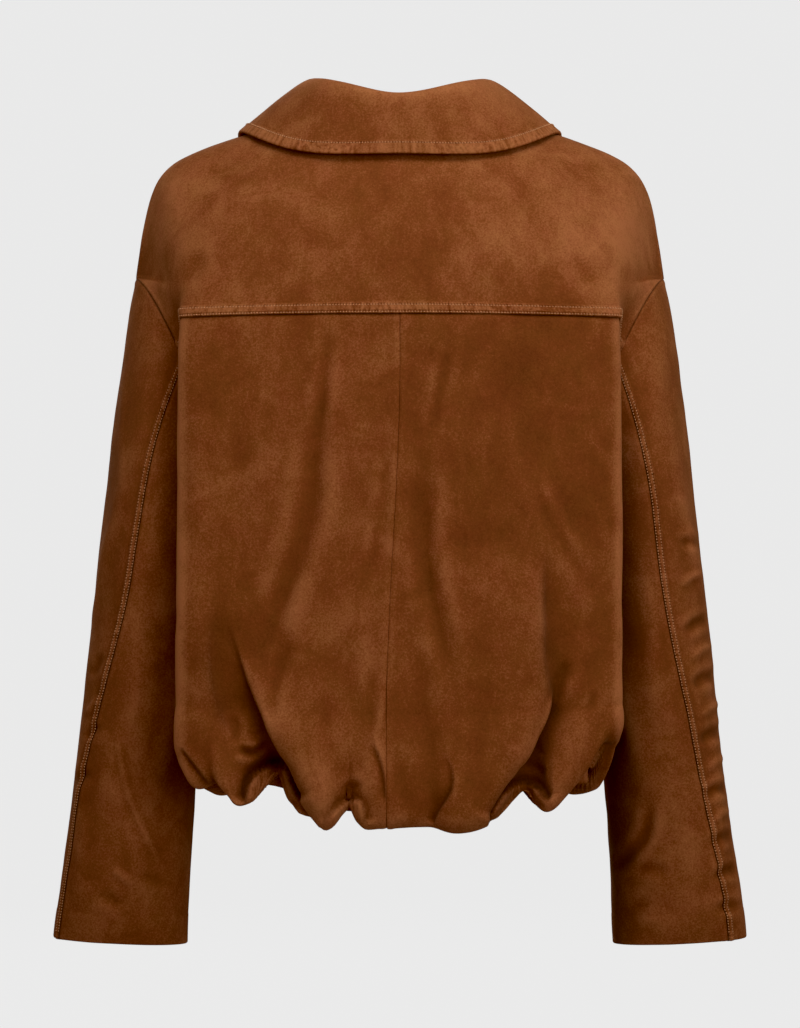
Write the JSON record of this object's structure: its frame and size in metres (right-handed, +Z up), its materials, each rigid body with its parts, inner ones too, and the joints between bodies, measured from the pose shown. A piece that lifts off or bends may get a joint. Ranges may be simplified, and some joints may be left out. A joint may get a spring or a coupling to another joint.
{
  "type": "suede jacket",
  "caption": "Cropped suede blouson jacket, filled out as worn, with a turned-down collar, back yoke, dropped shoulders, long two-piece sleeves and a turned-under bubble hem.",
  "frame": {"origin": "on the centre line between the two points where the shoulder seams meet the neck, where the wearer's shoulders and neck hold the jacket up", "axes": "+Z up, the front faces -Y and the back +Y, +X is the wearer's left"},
  "size_m": [0.5804, 0.2706, 0.7182],
  "materials": {
    "suede": "napped suede, tan brown",
    "button_horn": "polished dark horn"
  },
  "bodies": {
    "root": {"yoke": "suede", "back_left": "suede", "back_right": "suede", "front_left": "suede", "front_right": "suede", "collar": "suede", "hem_band": "suede", "sleeve_left_top": "suede", "sleeve_left_under": "suede", "sleeve_right_top": "suede", "sleeve_right_under": "suede", "button_1": "button_horn", "button_2": "button_horn", "button_3": "button_horn", "button_4": "button_horn", "button_5": "button_horn"}
  },
  "joints": []
}
